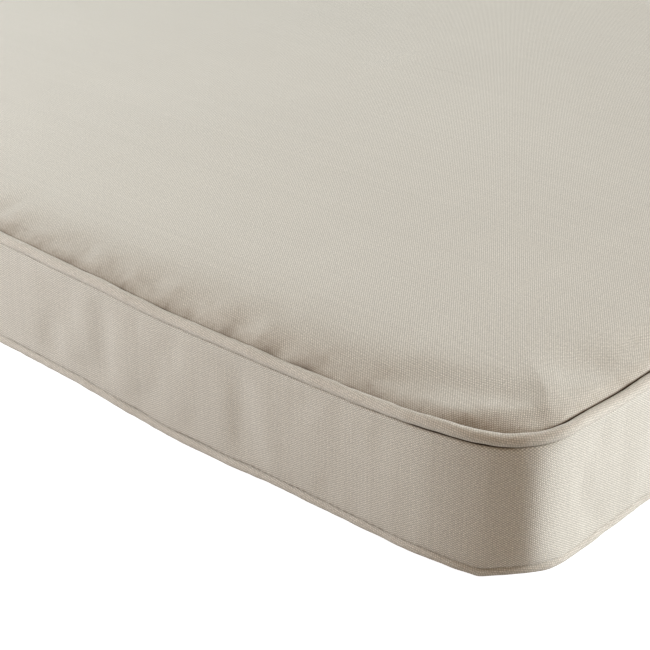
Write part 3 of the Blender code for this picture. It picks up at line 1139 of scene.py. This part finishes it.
# What each step leaves of the light, at its low end and at its high end
YARN_LIGHT = (0.96, 1.03)
# The darkening in the troughs between yarns is painted shade
TROUGH_PAINTED_SHADE = (0.78, 1.03)
PATCH_LIGHT = (0.985, 1.012)
STREAK_LIGHT = (0.985, 1.012)
SPECK_LIGHT = (0.84, 1.16)
ROUGHNESS = (0.82, 0.92)
# The brown of dust and painted shade by the seams, and the dark brown where that mark is full,
# mostly painted shade in the creases and at the seams' lips
PALE_DUST_AND_SHADE = (0.20, 0.105, 0.03, 1.0)
DARK_SHADE_AND_DUST = (0.075, 0.052, 0.033, 1.0)
tone, given, out = new_group(
    "Cloth tone",
    (
        ("Color", "Color"), ("Second yarn", "Color"), ("Place", "Vector"), ("Height", "Float"),
        ("On top", "Float"), ("Yarn", "Float"), ("Seam dust and shade", "Float"),
        ("Painted seam shadow", "Float"),
    ),
    (("Color", "Color"), ("Roughness", "Float")),
)
cloth_color = blend(tone, given["On top"], given["Second yarn"], given["Color"])
slub = add_node(tone, "Mapping", {"Vector": given["Place"], "Scale": SLUB_SCALE})
mottle = noise_at(tone, given["Place"], MOTTLE_SCALE, 5.0)
streak = noise_at(tone, slub.outputs[0], 1.0, 2.0)
speck = noise_at(tone, given["Place"], SPECK_SCALE, 2.0)
light = spread(tone, given["Yarn"], 0.0, 1.0, *YARN_LIGHT)
for part in (
    # Painted shade in the troughs between yarns
    spread(tone, given["Height"], 0.1, 0.8, *TROUGH_PAINTED_SHADE),
    spread(tone, mottle, NOISE_LOW, NOISE_HIGH, *PATCH_LIGHT),
    spread(tone, streak, NOISE_LOW, NOISE_HIGH, *STREAK_LIGHT),
    spread(tone, speck, NOISE_LOW, NOISE_HIGH, *SPECK_LIGHT),
):
    light = calc(tone, "MULTIPLY", light, part)
grey = add_node(tone, "CombineXYZ", {0: light, 1: light, 2: light}).outputs[0]
cloth_color = blend(tone, 1.0, cloth_color, grey, "MULTIPLY")
print("node group", tone.name, "colour")

# %% The dust and painted shade of the cloth
# The dashes of painted shadow keep time with the stitches, a noise breaks them up, and where it
# is patchy the dust and painted shade lie thicker or thinner
blotch_noise = noise_at(tone, given["Place"], BLOTCH_SCALE, 4.0)
along = add_node(tone, "SeparateXYZ", {0: given["Place"]}).outputs[0]
beat = calc(tone, "SINE", calc(tone, "MULTIPLY", along, 2 * np.pi / STITCH_PITCH))
dash = spread(tone, beat, -0.8, 0.2, 0.25, 1.0, smooth=True)
broken = spread(tone, blotch_noise, 0.40, 0.60, 0.3, 0.95)
shadow_dashes = calc(tone, "MULTIPLY", calc(tone, "MULTIPLY", dash, broken), given["Painted seam shadow"])
patchy = spread(tone, blotch_noise, NOISE_LOW, NOISE_HIGH, 1.5, 0.75)
dust_and_shade = calc(tone, "POWER", given["Seam dust and shade"], patchy)
near = calc(tone, "MAXIMUM", dust_and_shade, shadow_dashes)
# A brown for dust and painted shade, dark where the painted shade is full
dust_and_shade_color = blend(tone, near, PALE_DUST_AND_SHADE, DARK_SHADE_AND_DUST)
plug(tone, out.inputs["Color"], blend(tone, near, cloth_color, dust_and_shade_color))
roughness = spread(tone, mottle, NOISE_LOW, NOISE_HIGH, *ROUGHNESS)
plug(tone, out.inputs["Roughness"], roughness)
print("node group", tone.name, "complete")

# %% [markdown]
# ## Materials
#
# The panels and the welts are one canvas, a warm grey-beige outdoor cloth. On the welts
# the map is turned by 45 degrees, as the strip is cut on the bias. A little sheen stands
# for the fuzz of the yarns at grazing angles. The thread is darker.

# %% The canvas
WEAVE_BUMP = 0.12 * MM
UNEVEN_SCALE = 150.0
SHEEN = 0.15
SHEEN_ROUGHNESS = 0.5
SHINE = 0.25


def add_material(name):
    """An empty node material with its shader: gives all three."""
    material = bpy.data.materials.new(name)
    material.use_nodes = True
    tree = material.node_tree
    shader = tree.nodes["Principled BSDF"]
    return material, tree, shader


def canvas_material(name, color, second, bias, soft_bump, dust_and_shade_at_seams):
    """The woven canvas, with its map turned by an angle. Two bumps lie over each other: a
    soft unevenness, and the yarns."""
    material, tree, shader = add_material(name)
    place = add_node(tree, "UVMap", uv_map="cloth").outputs[0]
    turned = add_node(tree, "Mapping", {"Vector": place, "Rotation": (0.0, 0.0, bias)}).outputs[0]
    yarns = add_node(tree, "Group", node_tree=weave)
    plug(tree, yarns.inputs["Place"], turned)
    plug(tree, yarns.inputs["Lengthwise pitch"], YARN_PITCH[0])
    plug(tree, yarns.inputs["Crosswise pitch"], YARN_PITCH[1])
    paint = add_node(tree, "Group", node_tree=tone)
    for title in ("Height", "On top", "Yarn"):
        plug(tree, paint.inputs[title], yarns.outputs[title])
    plug(tree, paint.inputs["Place"], place)
    plug(tree, paint.inputs["Color"], (*color, 1.0))
    plug(tree, paint.inputs["Second yarn"], (*second, 1.0))
    # The masks of dust and painted shade by the seams, and of the painted shadow line along the
    # band's edges
    if dust_and_shade_at_seams:
        for title, mask in (("Seam dust and shade", "seam_dust_and_shade"), ("Painted seam shadow", "painted_seam_shadow")):
            value = add_node(tree, "Attribute", attribute_name=mask).outputs["Fac"]
            plug(tree, paint.inputs[title], value)
    uneven = noise_at(tree, place, UNEVEN_SCALE, 3.0)
    soft = add_node(tree, "Bump", {"Height": uneven, "Distance": soft_bump, "Strength": 1.0})
    bump = add_node(tree, "Bump", {"Height": yarns.outputs["Height"], "Strength": 1.0})
    plug(tree, bump.inputs["Distance"], WEAVE_BUMP)
    plug(tree, bump.inputs["Normal"], soft.outputs[0])
    plug(tree, shader.inputs["Base Color"], paint.outputs["Color"])
    plug(tree, shader.inputs["Roughness"], paint.outputs["Roughness"])
    plug(tree, shader.inputs["Normal"], bump.outputs[0])
    shader.inputs["Sheen Weight"].default_value = SHEEN
    shader.inputs["Sheen Roughness"].default_value = SHEEN_ROUGHNESS
    shader.inputs["Specular IOR Level"].default_value = SHINE
    return material


# %% The three materials
CANVAS_COLOR = (0.755, 0.72, 0.64)
SECOND_YARN = (0.46, 0.425, 0.355)
WELT_COLOR = (0.70, 0.655, 0.575)
WELT_SECOND = (0.50, 0.46, 0.385)
THREAD_DARK = (0.30, 0.26, 0.20, 1.0)
THREAD_PALE = (0.42, 0.38, 0.31, 1.0)
FIBRE_SCALE = 1800.0
canvas = canvas_material(
    "canvas", CANVAS_COLOR, SECOND_YARN, bias=0.0, soft_bump=0.03 * MM, dust_and_shade_at_seams=True
)
welt_canvas = canvas_material(
    "welt_canvas", WELT_COLOR, WELT_SECOND, bias=np.pi / 4, soft_bump=0.12 * MM, dust_and_shade_at_seams=False
)
thread, tree, shader = add_material("thread")
fibres = noise_at(tree, add_node(tree, "TexCoord").outputs["Object"], FIBRE_SCALE, 2.0)
plug(tree, shader.inputs["Base Color"], blend(tree, fibres, THREAD_DARK, THREAD_PALE))
shader.inputs["Roughness"].default_value = 0.7
print("materials", [m.name for m in bpy.data.materials])

# %% [markdown]
# ## Hand the pieces over
#
# Every piece gets its material and rides on the cushion's one body. The cover and the two welts
# take the place of the imported solids, which are hidden.

# %% Hand the pieces over
for piece, material in (
    (cover, canvas), (upper_welt, welt_canvas), (lower_welt, welt_canvas),
    (upper_stitches, thread), (lower_stitches, thread),
):
    piece.data.materials.append(material)
    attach(piece, "root")
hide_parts("cushion_body")
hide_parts("welt_upper")
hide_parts("welt_lower")
print("pieces", [p.name for p in (cover, upper_welt, lower_welt, upper_stitches, lower_stitches)])

# %% [markdown]
# ## Studio and camera
#
# The photograph is a studio picture on white. A soft light stands low on the right and
# grazes the near end, so the corner beside it falls into shade, and two weaker ones come
# from behind. The room's own light is warm. The floor and the room look white to the
# camera only, so that they don't bleach the cloth. The camera looks down at the near left
# corner, and its place, angles and lens put the edges where they are in the picture.

# %% The lights
CORNER_POINT = np.array([-WIDTH / 2, -LENGTH / 2, 0.03])


def add_softbox(name, azimuth, elevation, distance, size, watts, color):
    """A square area light that looks at the near corner from a direction, in degrees."""
    turn, lift = np.radians((azimuth, elevation))
    toward = np.array([np.cos(turn) * np.cos(lift), np.sin(turn) * np.cos(lift), np.sin(lift)])
    light = bpy.data.lights.new(name, "AREA")
    light.size = size
    light.energy = watts
    light.color = color
    lamp = bpy.data.objects.new(name, light)
    lamp.location = CORNER_POINT + toward * distance
    lamp.rotation_euler = Vector(-toward).to_track_quat("-Z", "Y").to_euler()
    bpy.context.scene.collection.objects.link(lamp)
    print(name, watts, "W from", azimuth, "degrees")


add_softbox("right_softbox", -45, 12, distance=2.5, size=0.6, watts=90.0, color=(0.88, 0.94, 1.0))
add_softbox("left_softbox", 120, 20, distance=1.2, size=0.5, watts=11.0, color=(0.89, 0.93, 1.0))
add_softbox("back_softbox", 62, 40, distance=1.9, size=1.0, watts=11.3, color=(0.65, 0.88, 1.0))

# %% The white background
WHITE = (1.0, 1.0, 1.0, 1.0)
ROOM_LIGHT = (0.354, 0.257, 0.175, 1.0)
FLOOR_TONE = (0.6, 0.6, 0.6, 1.0)
FLOOR_HALF = 15.0
world = bpy.data.worlds.new("studio")
world.use_nodes = True
tree = world.node_tree
seen = add_node(tree, "LightPath").outputs["Is Camera Ray"]
plug(tree, tree.nodes["Background"].inputs["Color"], blend(tree, seen, ROOM_LIGHT, WHITE))
bpy.context.scene.world = world
bpy.context.scene.view_settings.view_transform = "Standard"

corners = np.array([(-1, -1, 0), (1, -1, 0), (1, 1, 0), (-1, 1, 0)]) * FLOOR_HALF
floor, _ = add_mesh("studio_floor", corners, np.arange(4), np.array([4]))
white, tree, shader = add_material("studio_white")
shader.inputs["Base Color"].default_value = FLOOR_TONE
shader.inputs["Roughness"].default_value = 0.95
seen = add_node(tree, "LightPath").outputs["Is Camera Ray"]
plug(tree, shader.inputs["Emission Strength"], seen)
shader.inputs["Emission Color"].default_value = WHITE
floor.data.materials.append(white)
floor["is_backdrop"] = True
print("floor", 2 * FLOOR_HALF, "m wide")

# %% The camera
CAMERA_PLACE = (-0.7043, -1.2384, 0.3317)
CAMERA_PITCH, CAMERA_YAW = np.radians((25.5, 47.105))
LENS = 85.68
SENSOR = 36.0
camera_data = bpy.data.cameras.new("camera")
camera_data.lens = LENS
camera_data.sensor_width = SENSOR
camera_data.clip_end = 100.0
camera_data.dof.use_dof = False
camera = bpy.data.objects.new("camera", camera_data)
camera.location = CAMERA_PLACE
forward = np.cos(CAMERA_PITCH)
look = Vector((np.sin(CAMERA_YAW) * forward, np.cos(CAMERA_YAW) * forward, -np.sin(CAMERA_PITCH)))
camera.rotation_euler = look.to_track_quat("-Z", "Y").to_euler()
bpy.context.scene.collection.objects.link(camera)
bpy.context.scene.camera = camera
print("camera", [round(v, 4) for v in camera.location])

# %% [markdown]
# ## Size
#
# Both boxes, of the imported solids and of the dressed cushion, are printed.

boxes = {"cad": [list(c) for c in cad_box], "visual": [list(c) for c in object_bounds()]}
for name, (low, high) in boxes.items():
    print(name, [round(b - a, 4) for a, b in zip(low, high)], [round(v, 4) for v in low])
